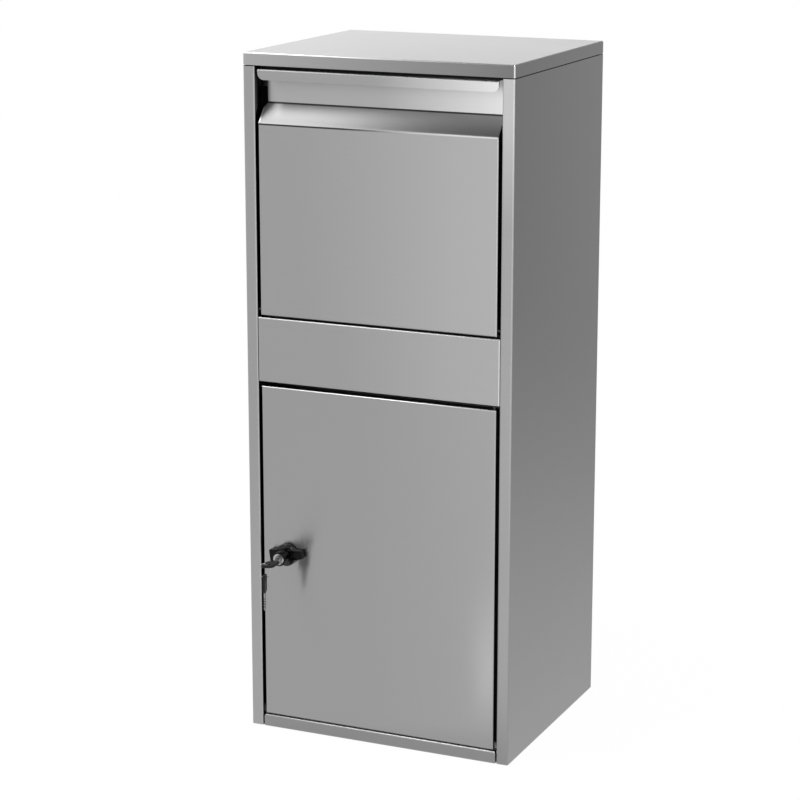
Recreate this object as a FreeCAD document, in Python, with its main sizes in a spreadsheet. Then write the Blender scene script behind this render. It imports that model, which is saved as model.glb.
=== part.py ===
import FreeCAD, Part

import math
import os

import Sketcher

# Wall mounted parcel and letter box in brushed stainless sheet.
# Frame: origin at the centre of the cabinet's underside, +X to the right, -Y to the front, +Z up.
# All lengths in millimetres, all angles in degrees.

Vector = FreeCAD.Vector

SIZES = [
    # cabinet
    ("cabinet_width", 410, "over the two side panels"),
    ("cabinet_depth", 350, "front plane to wall"),
    ("cabinet_height", 1000, "underside to top of lid"),
    ("sheet", 1.0, "stainless sheet of every folded piece"),
    ("bend_radius", 2.5, "outer radius of a folded edge"),
    ("post_width", 18, "front flange of a side panel"),
    ("post_depth", 20, "front plane to the back of the stop lip"),
    ("stop_lip", 10, "width of the lip behind the door's edges"),
    ("stop_lip_gap", 4, "stop lip to the ends of the door opening"),
    ("lid_skirt", 18, "height of the lid's folded edge"),
    ("lid_seam", 1, "open seam under the lid skirt"),
    ("lid_clearance", 0.3, "lid skirt to the stepped-in edge inside it"),
    ("lid_flange", 20, "width of the flange that carries the lid"),
    ("lid_flange_setback", 25, "front plane to the start of that flange"),
    ("back_edge", 15, "folded edge of the back panel"),
    ("wall_hole_spacing_x", 280, "wall holes, side to side"),
    ("wall_hole_spacing_z", 700, "wall holes, up and down"),
    ("wall_hole_centre", 500, "height of the pattern's centre"),
    ("wall_hole_radius", 4.2, "holes for 8 mm wall screws"),
    ("floor_edge", 20, "upturned edges of the floor pan"),
    ("sill_height", 18, "sill under the door"),
    ("sill_return", 14, "folded edges of the sill"),
    ("sill_corner", 4, "corner radius of the sill"),
    ("sill_end_gap", 1.2, "sill to post"),
    ("edge_gap", 2, "between folded edges that pass each other"),
    # fixed front panel and header
    ("panel_bottom", 527.5, "lower edge of the fixed panel"),
    ("panel_height", 95, "fixed panel"),
    ("panel_return", 14, "folded edges of the fixed panel"),
    ("header_height", 30, "cross rail under the lid"),
    ("header_return", 20, "its folded ends and top edge"),
    ("header_drop", 2, "rail below the lid skirt's lower edge"),
    ("buffer_thickness", 1.7, "rubber buffers behind the flap"),
    ("buffer_radius", 6, "rubber buffers behind the flap"),
    ("buffer_spacing", 280, "between the two flap buffers"),
    ("rest_gap", 0.3, "moving piece to what it rests on"),
    ("running_clearance", 0.05, "pin in its hole, radial"),
    # drop flap
    ("flap_bottom_gap", 3, "fixed panel to flap"),
    ("flap_side_gap", 4.7, "post to flap"),
    ("grip_opening", 49, "slanted lip to the top of the grip rail"),
    ("lip_depth", 24, "slanted lip, front to back"),
    ("lip_rise", 27, "slanted lip, up"),
    ("lip_overlap", 16, "lip's upper edge behind the grip rail"),
    ("lip_corner_depth", 17, "where the lip's corner is cut off"),
    ("lip_side_gap", 0.5, "lip set in from the flap's folded sides"),
    ("flap_side_return", 3, "folded sides of the flap, in front of its cheeks"),
    ("flap_bottom_return", 15, "folded bottom of the flap"),
    ("grip_top_gap", 5, "grip rail to the lid skirt's lower edge"),
    ("grip_flange", 15, "down-turned edge of the grip rail"),
    ("grip_corner", 10, "corner radius of that edge"),
    ("grip_inset", 4.3, "back of the grip rail is narrower, each side"),
    ("grip_foot_gap", 0.3, "grip rail to lip"),
    ("flap_axis_depth", 6, "front plane to the flap's hinge line"),
    ("flap_axis_height", 8, "flap's lower edge to its hinge line"),
    ("flap_open_angle", 60, "full opening of the flap"),
    ("flap_pin_radius", 2.5, "pivot pins of the flap"),
    ("flap_pin_reach", 1.5, "pin past the cheek it turns in"),
    ("cheek_top_gap", 3.5, "side plates to the top of the flap's face"),
    ("ear_length", 18, "stop ear, outwards from the hinge line"),
    ("ear_inset", 2, "cheek's rim to the ear"),
    ("ear_width", 11, "stop ear, out from the cheek"),
    ("ear_thickness", 1.5, "stop ear"),
    ("tray_angle", 70, "tray below the horizontal when the flap is shut"),
    ("tray_back_gap", 30, "length of the tray short of the cabinet's depth"),
    ("tray_edge", 12, "folded edges of the tray"),
    # door
    ("door_bottom_gap", 2, "sill to door"),
    ("door_top_gap", 6, "door to fixed panel"),
    ("door_side_gap", 4.7, "post to door"),
    ("door_depth", 16, "folded edges of the door"),
    ("door_axis_depth", 5, "front plane to the door's hinge line"),
    ("door_axis_inset", 4.3, "door's right edge to its hinge line"),
    ("door_pin_radius", 2, "hinge pins of the door"),
    ("door_pin_length", 30, "hinge pins of the door"),
    ("door_pin_reach", 2.5, "pin past the sheet it turns in"),
    ("hinge_block_height", 15, "blocks that hold the pins"),
    ("hinge_block_wall", 2, "block around its pin"),
    ("washer_radius", 4.5, "washer under the door"),
    ("stiffener_width", 60, "hat channel inside the door"),
    ("stiffener_foot", 12, "its feet"),
    ("stiffener_depth", 12, "its depth"),
    ("stiffener_end_gap", 30, "door's end to the channel"),
    ("door_buffer_radius", 4.5, "rubber buffers behind the door"),
    ("door_buffer_end", 60, "door's end to a buffer"),
    # lock
    ("lock_inset", 39.8, "door's left edge to the lock's axis"),
    ("lock_height", 253, "door's lower edge to the lock's axis"),
    ("housing_radius", 9.5, "threaded barrel through the door"),
    ("housing_length", 20, "barrel behind the front plane"),
    ("collar_radius", 12, "collar in front of the door"),
    ("collar_thickness", 2, "collar"),
    ("lock_nut_flats", 24, "across flats"),
    ("lock_nut_thickness", 4, "lock nut"),
    ("spindle_radius", 6, "core's shaft in the barrel"),
    ("square_side", 7, "square end that drives the cam"),
    ("core_radius", 8.2, "core inside the knob"),
    ("knob_front", 31, "front plane to the knob's face"),
    ("core_proud", 0.3, "core past the knob's face"),
    ("knob_barrel_radius", 10.4, "knob around the core"),
    ("hub_radius", 16.4, "round base of the knob"),
    ("hub_front", 10, "front plane to the front of the base"),
    ("left_wing", 25, "axis to the tip of the broad wing"),
    ("left_wing_height", 19, "broad wing"),
    ("right_wing", 27.2, "axis to the tip of the slim wing"),
    ("right_wing_tip", 12.3, "slim wing at its tip"),
    ("wing_back", 3, "front plane to the back of the wings"),
    ("wing_tip_front", 11, "front plane to the front of a wing's tip"),
    ("wing_root_front", 12.5, "front plane to the front of a wing's root"),
    ("lock_tilt", 8, "turn of the wings, the keyway and the key from the level"),
    ("cam_length", 50, "axis to the cam's tip"),
    ("cam_width", 16, "cam"),
    ("cam_thickness", 2.5, "cam"),
    ("cam_gap", 0.5, "cam to the back of the stop lip"),
    ("cam_screw_radius", 2, "cam screw"),
    ("cam_screw_length", 9, "cam screw below its head"),
    ("cam_screw_head_radius", 3.5, "cam screw"),
    ("cam_screw_head", 2.6, "cam screw"),
    ("cam_washer_radius", 5, "washer on the cam"),
    ("cam_washer_thickness", 1, "washer on the cam"),
    # keys
    ("plug_radius", 6.2, "keyed plug"),
    ("plug_length", 25, "keyed plug"),
    ("key_width", 20, "key head, across"),
    ("key_head_length", 26, "key head, along"),
    ("key_head_thickness", 3.5, "key head"),
    ("key_head_corner", 5, "corner radius of the key head"),
    ("key_hole_radius", 3.5, "hole for the ring"),
    ("key_hole_inset", 6, "end of the head to that hole"),
    ("key_head_gap", 13, "plug's face to the key head"),
    ("blade_width", 8, "key blade"),
    ("blade_thickness", 2, "key blade"),
    ("blade_tang", 11, "blade inside the head"),
    ("blade_length", 27, "blade out of the head"),
    ("bit_depth", 1.6, "cuts in the blade's edge"),
    ("bit_pitch", 4, "cut to cut"),
    ("keyway_clearance", 0.3, "blade in the keyway, each side"),
    ("ring_radius", 10, "middle of the wire"),
    ("wire_radius", 0.5, "key ring wire, half its thickness"),
    ("ring_gap", 0.3, "ring to the heads that hang on it"),
]


class Size:
    """A number with the spreadsheet expression that gives it."""

    def __init__(self, text, value):
        self.text = text
        self.value = value

    def __float__(self):
        return self.value

    def __neg__(self):
        return Size(f"(-{self.text})", -self.value)

    def __add__(self, other):
        return Size(f"({self.text} + {text_of(other)})", self.value + float(other))

    def __radd__(self, other):
        return self + other

    def __sub__(self, other):
        return Size(f"({self.text} - {text_of(other)})", self.value - float(other))

    def __rsub__(self, other):
        return -self + other

    def __mul__(self, other):
        return Size(f"({self.text} * {text_of(other)})", self.value * float(other))

    def __rmul__(self, other):
        return self * other

    def __truediv__(self, other):
        return Size(f"({self.text} / {text_of(other)})", self.value / float(other))


def text_of(number):
    return number.text if isinstance(number, Size) else repr(number)


def sine(angle):
    return Size(f"sin({angle.text})", math.sin(math.radians(angle.value)))


def cosine(angle):
    return Size(f"cos({angle.text})", math.cos(math.radians(angle.value)))


def root(number):
    return Size(f"sqrt({number.text})", math.sqrt(number.value))


doc = FreeCAD.newDocument("WallMailbox")
sheet_of_sizes = doc.addObject("Spreadsheet::Sheet", "Sizes")
for row, (alias, number, note) in enumerate(SIZES, start=1):
    sheet_of_sizes.set(f"A{row}", alias)
    sheet_of_sizes.set(f"B{row}", str(number))
    sheet_of_sizes.set(f"C{row}", note)
    sheet_of_sizes.setAlias(f"B{row}", alias)
doc.recompute()


class Named:
    """Every size of the spreadsheet by its alias."""


dim = Named()
for alias, number, note in SIZES:
    setattr(dim, alias, Size(f"Sizes.{alias}", float(sheet_of_sizes.get(alias))))

# Places that several pieces share.
half_width = dim.cabinet_width / 2
front = -dim.cabinet_depth / 2
back = dim.cabinet_depth / 2
opening_half = half_width - dim.post_width
inner_half = half_width - dim.sheet
skirt_bottom = dim.cabinet_height - dim.lid_skirt
panel_top = dim.panel_bottom + dim.panel_height
flap_bottom = panel_top + dim.flap_bottom_gap
flap_half = opening_half - dim.flap_side_gap
flap_top = skirt_bottom - dim.grip_top_gap
flap_face = flap_top - flap_bottom - dim.grip_opening - dim.lip_rise
cheek_radius = flap_face - dim.flap_axis_height - dim.cheek_top_gap
door_bottom = dim.sill_height + dim.door_bottom_gap
door_height = dim.panel_bottom - dim.door_top_gap - door_bottom
door_half = opening_half - dim.door_side_gap
door_axis_x = door_half - dim.door_axis_inset
sill_half = opening_half - dim.sill_end_gap
lock_x = dim.lock_inset - door_half
lock_z = door_bottom + dim.lock_height
core_front = dim.knob_front + dim.core_proud
core_back = dim.collar_thickness + dim.rest_gap
cam_front = dim.post_depth + dim.cam_gap
cam_back = cam_front + dim.cam_thickness

made = []


# ---------------------------------------------------------------- building blocks

def bind(thing, path, value):
    """Sets a property from a size, so that it follows the spreadsheet."""
    thing.setExpression(path, text_of(value))


def settle(feature):
    """Builds a feature and stops at the first one that doesn't build."""
    doc.recompute()
    if not feature.isValid() or feature.Shape.isNull():
        raise RuntimeError(f"{feature.Name} did not build: {feature.getStatusString()}")
    return feature


def new_body(name, x=0, y=0, z=0):
    """A body whose origin stands at x, y, z."""
    body = doc.addObject("PartDesign::Body", name)
    body.Label = name
    for axis, value in zip("xyz", (x, y, z)):
        if isinstance(value, Size):
            bind(body, f"Placement.Base.{axis}", value)
    made.append(body)
    return body


def new_sketch(body, role, start):
    """A sketch parallel to an origin plane of its body, at the given place along that plane's axis."""
    sketch = body.newObject("Sketcher::SketchObject", f"{body.Name}_sketch")
    plane = [item for item in body.Origin.OriginFeatures if item.Role == role][0]
    sketch.AttachmentSupport = [(plane, "")]
    sketch.MapMode = "FlatFace"
    if isinstance(start, Size) or start:
        bind(sketch, "AttachmentOffset.Base.z", -1 * start if role == "XZ_Plane" else start)
    return sketch


def hold_point(sketch, edge, end, point):
    """Dimensions a point of the sketch from the sketch's origin."""
    for kind, value in zip(("DistanceX", "DistanceY"), point):
        number = sketch.addConstraint(Sketcher.Constraint(kind, -1, 1, edge, end, float(value)))
        if isinstance(value, Size):
            bind(sketch, f"Constraints[{number}]", value)


def draw_outline(sketch, points):
    """A closed outline of straight edges through the points."""
    corners = [Vector(float(x), float(y), 0) for x, y in points]
    following = corners[1:] + corners[:1]
    first = sketch.GeometryCount
    for here, there in zip(corners, following):
        sketch.addGeometry(Part.LineSegment(here, there), False)
    for number, point in enumerate(points):
        this = first + number
        after = first + (number + 1) % len(points)
        sketch.addConstraint(Sketcher.Constraint("Coincident", this, 2, after, 1))
        hold_point(sketch, this, 1, point)


def draw_circle(sketch, centre, radius):
    x, y = centre
    round_line = Part.Circle(Vector(float(x), float(y), 0), Vector(0, 0, 1), float(radius))
    circle = sketch.addGeometry(round_line, False)
    hold_point(sketch, circle, 3, centre)
    number = sketch.addConstraint(Sketcher.Constraint("Radius", circle, float(radius)))
    bind(sketch, f"Constraints[{number}]", radius)


def rectangle(x_low, x_high, y_low, y_high):
    return [(x_low, y_low), (x_high, y_low), (x_high, y_high), (x_low, y_high)]


def add_pad(body, sketch, role, length):
    pad = body.newObject("PartDesign::Pad", f"{body.Name}_pad")
    pad.Profile = sketch
    pad.Reversed = role == "XZ_Plane"
    bind(pad, "Length", length)
    return settle(pad)


def add_pocket(body, sketch, role, length):
    before = body.Shape.Volume
    pocket = body.newObject("PartDesign::Pocket", f"{body.Name}_pocket")
    pocket.Profile = sketch
    pocket.Reversed = role != "XZ_Plane"
    bind(pocket, "Length", length)
    settle(pocket)
    if not body.Shape.Volume < before:
        raise RuntimeError(f"{pocket.Name} cuts nothing")
    return pocket


def extrude(body, role, outlines, start, length):
    """Adds outlines, drawn on a plane, from `start` along that plane's axis."""
    sketch = new_sketch(body, role, start)
    for outline in outlines:
        draw_outline(sketch, outline)
    return add_pad(body, sketch, role, length)


def extrude_round(body, role, centres, radius, start, length):
    sketch = new_sketch(body, role, start)
    for centre in centres:
        draw_circle(sketch, centre, radius)
    return add_pad(body, sketch, role, length)


def cut(body, role, outlines, start, length):
    """Takes outlines away from `start` along the plane's axis."""
    sketch = new_sketch(body, role, start)
    for outline in outlines:
        draw_outline(sketch, outline)
    return add_pocket(body, sketch, role, length)


def cut_round(body, role, centres, radius, start, length):
    sketch = new_sketch(body, role, start)
    for centre in centres:
        draw_circle(sketch, centre, radius)
    return add_pocket(body, sketch, role, length)


def revolve(body, outline):
    """Turns an outline of (x, y) points about the body's Y axis."""
    sketch = new_sketch(body, "XY_Plane", 0)
    draw_outline(sketch, outline)
    turned = body.newObject("PartDesign::Revolution", f"{body.Name}_turned")
    turned.Profile = sketch
    turned.ReferenceAxis = (sketch, ["V_Axis"])
    turned.Angle = 360
    return settle(turned)


def round_edges(body, axis, corners, radius):
    """Rounds the edges that run along `axis` through the given corners, in that axis's own plane."""
    solid = body.Tip
    others = [number for number in range(3) if number != "XYZ".index(axis)]
    chosen = []
    for number, edge in enumerate(solid.Shape.Edges, start=1):
        ends = [vertex.Point for vertex in edge.Vertexes]
        if len(ends) != 2 or edge.Curve.TypeId != "Part::GeomLine":
            continue
        for corner in corners:
            if all(abs(end[other] - float(place)) < 1e-4
                   for end in ends for other, place in zip(others, corner)):
                chosen.append(f"Edge{number}")
    if not chosen:
        raise RuntimeError(f"{body.Name} has no edge to round")
    fillet = body.newObject("PartDesign::Fillet", f"{body.Name}_fillet")
    fillet.Base = (solid, chosen)
    bind(fillet, "Radius", radius)
    return settle(fillet)


def bend_front(body, radius, sharp_levels=()):
    """Rounds the edges round the front face, apart from level edges at the given heights."""
    solid = body.Tip
    chosen = []
    for number, edge in enumerate(solid.Shape.Edges, start=1):
        box = edge.BoundBox
        sharp = any(abs(box.ZMin - float(level)) < 1e-4 and abs(box.ZMax - float(level)) < 1e-4
                    for level in sharp_levels)
        if abs(box.YMax) < 1e-4 and not sharp:
            chosen.append(f"Edge{number}")
    fillet = body.newObject("PartDesign::Fillet", f"{body.Name}_bends")
    fillet.Base = (solid, chosen)
    bind(fillet, "Radius", radius)
    return settle(fillet)


# ---------------------------------------------------------------- cabinet

def side_panel(name, side):
    """Wall, front flange, return and stop lip from one profile; the lip stays only beside the door.
    Above the seam the wall steps in behind the lid skirt and ends in the flange that carries the lid."""
    body = new_body(name, x=side * half_width, y=front)
    inward = -side
    post, depth, lip = dim.post_width, dim.post_depth, dim.post_width + dim.stop_lip
    thick = dim.sheet
    profile = [
        (0, dim.cabinet_depth), (0, 0), (post, 0), (post, depth - thick), (lip, depth - thick), (lip, depth),
        (post - thick, depth), (post - thick, thick), (thick, thick), (thick, dim.cabinet_depth)]
    height = skirt_bottom - dim.lid_seam
    extrude(body, "XY_Plane", [[(inward * x, y) for x, y in profile]], 0, height)
    outer = [(0, 0), (inward * post, 0)]
    inner = [(inward * thick, thick), (inward * (post - thick), thick)]
    round_edges(body, "Z", outer, dim.bend_radius)
    round_edges(body, "Z", inner, dim.bend_radius - thick)

    lip_bottom = door_bottom + dim.stop_lip_gap
    lip_top = door_bottom + door_height - dim.stop_lip_gap
    lip_cut = rectangle(inward * post, inward * (lip + thick), depth - 2 * thick, depth + thick)
    cut(body, "XY_Plane", [lip_cut], lip_top, height)
    cut(body, "XY_Plane", [lip_cut], 0, lip_bottom)

    start, end = dim.lid_flange_setback, dim.cabinet_depth - dim.back_edge - dim.edge_gap
    step = thick + dim.lid_clearance
    inside, top = step + thick, dim.cabinet_height - thick
    step_in = rectangle(inward * thick / 2, inward * inside, start, end)
    upstand = rectangle(inward * step, inward * inside, start, end)
    flange = rectangle(inward * step, inward * dim.lid_flange, start, end)
    extrude(body, "XY_Plane", [step_in], height - thick, thick)
    extrude(body, "XY_Plane", [upstand], height - thick, top - height + thick)
    extrude(body, "XY_Plane", [flange], top - thick, thick)

    pin_place = (dim.flap_axis_depth, flap_bottom + dim.flap_axis_height)
    return_start = post - 2 * thick if side < 0 else -1 * (post + thick)
    cut_round(body, "YZ_Plane", [pin_place], dim.flap_pin_radius, return_start, 3 * thick)


def round_top(body, level, radius):
    """Rounds the outer top edge where the folded sides meet the top; the back edge stays square."""
    solid = body.Tip
    chosen = []
    for number, edge in enumerate(solid.Shape.Edges, start=1):
        box = edge.BoundBox
        flat = abs(box.ZMin - float(level)) < 1e-4 and abs(box.ZMax - float(level)) < 1e-4
        if flat and box.YMin < float(back) - 1e-4:
            chosen.append(f"Edge{number}")
    fillet = body.newObject("PartDesign::Fillet", f"{body.Name}_top_fillet")
    fillet.Base = (solid, chosen)
    bind(fillet, "Radius", radius)
    return settle(fillet)


def back_panel():
    """Shallow pan: face on the wall side, both edges and the top folded forward."""
    body = new_body("back_panel", y=back)
    thick, edge = dim.sheet, dim.back_edge
    profile = [
        (-inner_half, 0), (-inner_half, -edge), (thick - inner_half, -edge), (thick - inner_half, -thick),
        (inner_half - thick, -thick), (inner_half - thick, -edge), (inner_half, -edge), (inner_half, 0)]
    height = dim.cabinet_height - thick
    extrude(body, "XY_Plane", [profile], 0, height)
    extrude(body, "XY_Plane", [rectangle(-inner_half, inner_half, -edge, 0)], height - thick, thick)
    holes = [(across * dim.wall_hole_spacing_x / 2, dim.wall_hole_centre + up * dim.wall_hole_spacing_z / 2)
             for across in (-1, 1) for up in (-1, 1)]
    cut_round(body, "XZ_Plane", holes, dim.wall_hole_radius, -2 * thick, 3 * thick)


def lid():
    """Flat top with a skirt at the front and both sides, flush with the panels under it."""
    body = new_body("lid", z=dim.cabinet_height)
    thick = dim.sheet
    top = rectangle(-half_width, half_width, front, back)
    extrude(body, "XY_Plane", [top], -dim.lid_skirt, dim.lid_skirt)
    cut(body, "XY_Plane", [rectangle(-inner_half, inner_half, front + thick, back + thick)],
        -dim.lid_skirt, dim.lid_skirt - thick)
    round_edges(body, "Z", [(-half_width, front), (half_width, front)], dim.bend_radius)
    round_top(body, 0, dim.bend_radius)


def hexagon(flats):
    """The six corners of a hexagon, one pair of flats level."""
    corner = flats / math.sqrt(3)
    return [(corner * math.cos(math.radians(60 * turn)), corner * math.sin(math.radians(60 * turn)))
            for turn in range(6)]


def floor_pan():
    """Bottom sheet notched round the posts and the back panel's edges, with both sides folded up."""
    body = new_body("floor_pan", y=front)
    thick, depth = dim.sheet, dim.cabinet_depth
    wide, narrow, rear = inner_half, sill_half - thick, inner_half - thick
    notch, end = depth - dim.back_edge - dim.edge_gap, depth - thick
    bottom = [
        (-narrow, thick), (narrow, thick), (narrow, dim.post_depth), (wide, dim.post_depth), (wide, notch),
        (rear, notch), (rear, end), (-rear, end), (-rear, notch), (-wide, notch), (-wide, dim.post_depth),
        (-narrow, dim.post_depth)]
    extrude(body, "XY_Plane", [bottom], 0, thick)
    upturns = [rectangle(wide - thick, wide, dim.post_depth, notch),
               rectangle(-wide, thick - wide, dim.post_depth, notch)]
    extrude(body, "XY_Plane", upturns, 0, dim.floor_edge)


def front_sill():
    """Strip under the door: top and both ends folded back, rounded corners, open below."""
    body = new_body("front_sill", y=front)
    thick, top, deep = dim.sheet, dim.sill_height, dim.sill_return
    corners = [(-sill_half, top), (sill_half, top)]
    inside, ceiling = sill_half - thick, top - thick
    chamfer = (dim.sill_corner - thick) * (2 - math.sqrt(2))
    hollow = [(-inside, -thick), (inside, -thick), (inside, ceiling - chamfer), (inside - chamfer, ceiling),
              (chamfer - inside, ceiling), (-inside, ceiling - chamfer)]
    extrude(body, "XZ_Plane", [rectangle(-sill_half, sill_half, 0, top)], 0, deep)
    round_edges(body, "Y", corners, dim.sill_corner)
    bend_front(body, dim.bend_radius, sharp_levels=[0])
    cut(body, "XZ_Plane", [hollow], thick, deep)
    cut_round(body, "XY_Plane", [(door_axis_x, dim.door_axis_depth)],
              dim.door_pin_radius + dim.running_clearance, top - 2 * thick, 3 * thick)


def middle_panel():
    """Shallow pan between flap and door; its folded ends meet the posts."""
    body = new_body("middle_panel", y=front, z=dim.panel_bottom)
    thick, high, deep = dim.sheet, dim.panel_height, dim.panel_return
    extrude(body, "XZ_Plane", [rectangle(-opening_half, opening_half, 0, high)], 0, deep)
    bend_front(body, dim.bend_radius)
    cut(body, "XZ_Plane", [rectangle(thick - opening_half, opening_half - thick, thick, high - thick)],
        thick, deep)
    cut_round(body, "XY_Plane", [(door_axis_x, dim.door_axis_depth)],
              dim.door_pin_radius + dim.running_clearance, -thick, 3 * thick)


def header_front():
    """Front plane to the header rail's face."""
    return dim.lip_depth + dim.sheet + dim.rest_gap + dim.buffer_thickness


def header_rail():
    """Rail across the top of the mouth, with folded ends on the side walls and a folded top edge."""
    bottom = skirt_bottom - dim.header_drop - dim.header_height
    body = new_body("header_rail", y=front + header_front(), z=bottom)
    thick, fold = dim.sheet, dim.header_return
    profile = [
        (-inner_half, 0), (inner_half, 0), (inner_half, fold), (inner_half - thick, fold),
        (inner_half - thick, thick), (thick - inner_half, thick), (thick - inner_half, fold),
        (-inner_half, fold)]
    extrude(body, "XY_Plane", [profile], 0, dim.header_height)
    extrude(body, "XY_Plane", [rectangle(-inner_half, inner_half, 0, fold)], dim.header_height - thick, thick)


def flap_buffers():
    middle = skirt_bottom - dim.header_drop - dim.header_height / 2
    body = new_body("flap_buffers", y=front + header_front() - dim.buffer_thickness, z=middle)
    places = [(-dim.buffer_spacing / 2, 0), (dim.buffer_spacing / 2, 0)]
    extrude_round(body, "XZ_Plane", places, dim.buffer_radius, 0, dim.buffer_thickness)


def door_buffers():
    """Rubber discs on the lock side's stop lip, where the door's folded edge comes to rest."""
    gap = dim.door_depth + dim.rest_gap
    body = new_body("door_buffers", y=front + gap, z=door_bottom)
    across = dim.sheet / 2 - door_half
    places = [(across, dim.door_buffer_end), (across, door_height - dim.door_buffer_end)]
    extrude_round(body, "XZ_Plane", places, dim.door_buffer_radius, 0, dim.post_depth - dim.sheet - gap)


def flap_pivot_pin(name, side):
    """Pin fixed in the post's return, on which the flap's cheek turns."""
    body = new_body(name, y=front + dim.flap_axis_depth, z=flap_bottom + dim.flap_axis_height)
    inside, outside = flap_half - 2 * dim.sheet - dim.flap_pin_reach, opening_half + dim.sheet
    start = inside if side > 0 else -outside
    extrude_round(body, "YZ_Plane", [(0, 0)], dim.flap_pin_radius, start, outside - inside)


def hinge_washer():
    body = new_body("hinge_washer", x=door_axis_x, y=front + dim.door_axis_depth, z=dim.sill_height)
    thickness = dim.door_bottom_gap - dim.rest_gap
    extrude_round(body, "XY_Plane", [(0, 0)], dim.washer_radius, 0, thickness)
    cut_round(body, "XY_Plane", [(0, 0)], dim.door_pin_radius + dim.running_clearance, 0, thickness)


# ---------------------------------------------------------------- drop flap

def flap_skin():
    """Face with short sides, slanted lip and upper edge, folded bottom; the lip's corners are cut off."""
    body = new_body("flap_skin", y=front, z=flap_bottom)
    thick, face, deep = dim.sheet, flap_face, dim.lip_depth + dim.sheet
    fold, bottom = dim.flap_side_return, dim.flap_bottom_return
    extrude(body, "XZ_Plane", [rectangle(-flap_half, flap_half, 0, face)], 0, bottom)
    bend_front(body, dim.bend_radius, sharp_levels=[face])
    cut(body, "XZ_Plane", [rectangle(thick - flap_half, flap_half - thick, thick, face + thick)],
        thick, bottom)
    cut(body, "YZ_Plane", [rectangle(fold, bottom + thick, thick, face + thick)],
        -flap_half - thick, 2 * (flap_half + thick))
    side_cut = [(dim.bend_radius, face), (fold + thick, face - fold), (fold + thick, face + thick),
                (dim.bend_radius, face + thick)]
    cut(body, "YZ_Plane", [side_cut], -flap_half - thick, 2 * (flap_half + thick))
    slope = dim.lip_rise / dim.lip_depth
    under = thick * root(slope * slope + 1)
    top = face + dim.lip_rise + dim.lip_overlap
    lip = [(0, face), (deep, face + slope * deep), (deep, top), (deep + thick, top),
           (deep + thick, face + slope * (deep + thick) - under), (thick, face + slope * thick - under),
           (thick, face - dim.bend_radius), (0, face - dim.bend_radius)]
    lip_half = flap_half - dim.lip_side_gap
    extrude(body, "YZ_Plane", [lip], -lip_half, 2 * lip_half)
    narrow, corner = flap_half - dim.grip_inset, face + slope * dim.lip_corner_depth
    lip_top = face + dim.lip_rise
    for hand in (-1, 1):
        clip = [(hand * flap_half, corner), (hand * narrow, lip_top), (hand * narrow, top + thick),
                (hand * (flap_half + thick), top + thick), (hand * (flap_half + thick), corner)]
        cut(body, "XZ_Plane", [clip], -thick, deep + 3 * thick)


def grip_rail():
    """Folded rail: set-back strip, top and down-turned front edge to pull on."""
    body = new_body("grip_rail", y=front, z=flap_bottom)
    thick, deep = dim.sheet, dim.lip_depth + dim.sheet
    top = flap_top - flap_bottom
    foot = flap_face + dim.lip_rise / dim.lip_depth * deep + dim.grip_foot_gap
    lower = top - dim.grip_flange
    profile = [(0, lower), (0, top), (deep, top), (deep, foot), (deep - thick, foot),
               (deep - thick, top - thick), (thick, top - thick), (thick, lower)]
    extrude(body, "YZ_Plane", [profile], -flap_half, 2 * flap_half)
    round_edges(body, "X", [(0, top), (deep, top)], dim.bend_radius)
    narrow = flap_half - dim.grip_inset
    ends = [rectangle(narrow, flap_half + thick, 2 * thick, deep + thick),
            rectangle(-flap_half - thick, -narrow, 2 * thick, deep + thick)]
    cut(body, "XY_Plane", ends, foot - thick, top - foot + 2 * thick)
    round_edges(body, "Y", [(-flap_half, lower), (flap_half, lower)], dim.grip_corner)


def along_tray(distance, lift):
    """A point at a distance down the tray and a lift off its front face, in the flap's own frame."""
    angle = dim.tray_angle
    return (dim.flap_bottom_return + distance * cosine(angle) + lift * sine(angle),
            dim.sheet - distance * sine(angle) + lift * cosine(angle))


def cheek(name, side):
    """Sector plate between face and tray, with an ear that meets the post when the flap is open."""
    body = new_body(name, y=front, z=flap_bottom)
    thick, reach = dim.sheet, 2 * cheek_radius
    axis_y, axis_z = dim.flap_axis_depth, dim.flap_axis_height
    outside = side * (flap_half - thick)
    start = outside - thick if side > 0 else outside
    extrude_round(body, "YZ_Plane", [(axis_y, axis_z)], cheek_radius, start, thick)
    cut(body, "YZ_Plane", [rectangle(-reach, thick, -reach, reach)], start, thick)
    none = 0 * thick
    below = [(-reach, thick), along_tray(none, none), along_tray(reach, none), (-reach, -2 * reach)]
    cut(body, "YZ_Plane", [below], start, thick)
    turn = dim.flap_open_angle
    leading = dim.post_depth + dim.rest_gap - axis_y
    ear_end = cheek_radius - dim.ear_inset
    ear_start = ear_end - dim.ear_length
    ear = [(axis_y + out * sine(turn) + lag * cosine(turn), axis_z + out * cosine(turn) - lag * sine(turn))
           for out, lag in ((ear_start, leading), (ear_end, leading),
                            (ear_end, leading + dim.ear_thickness), (ear_start, leading + dim.ear_thickness))]
    ear_reach = dim.ear_width + thick
    extrude(body, "YZ_Plane", [ear], start if side > 0 else start + thick - ear_reach, ear_reach)
    cut_round(body, "YZ_Plane", [(axis_y, axis_z)], dim.flap_pin_radius + dim.running_clearance,
              start - thick, 3 * thick)


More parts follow.
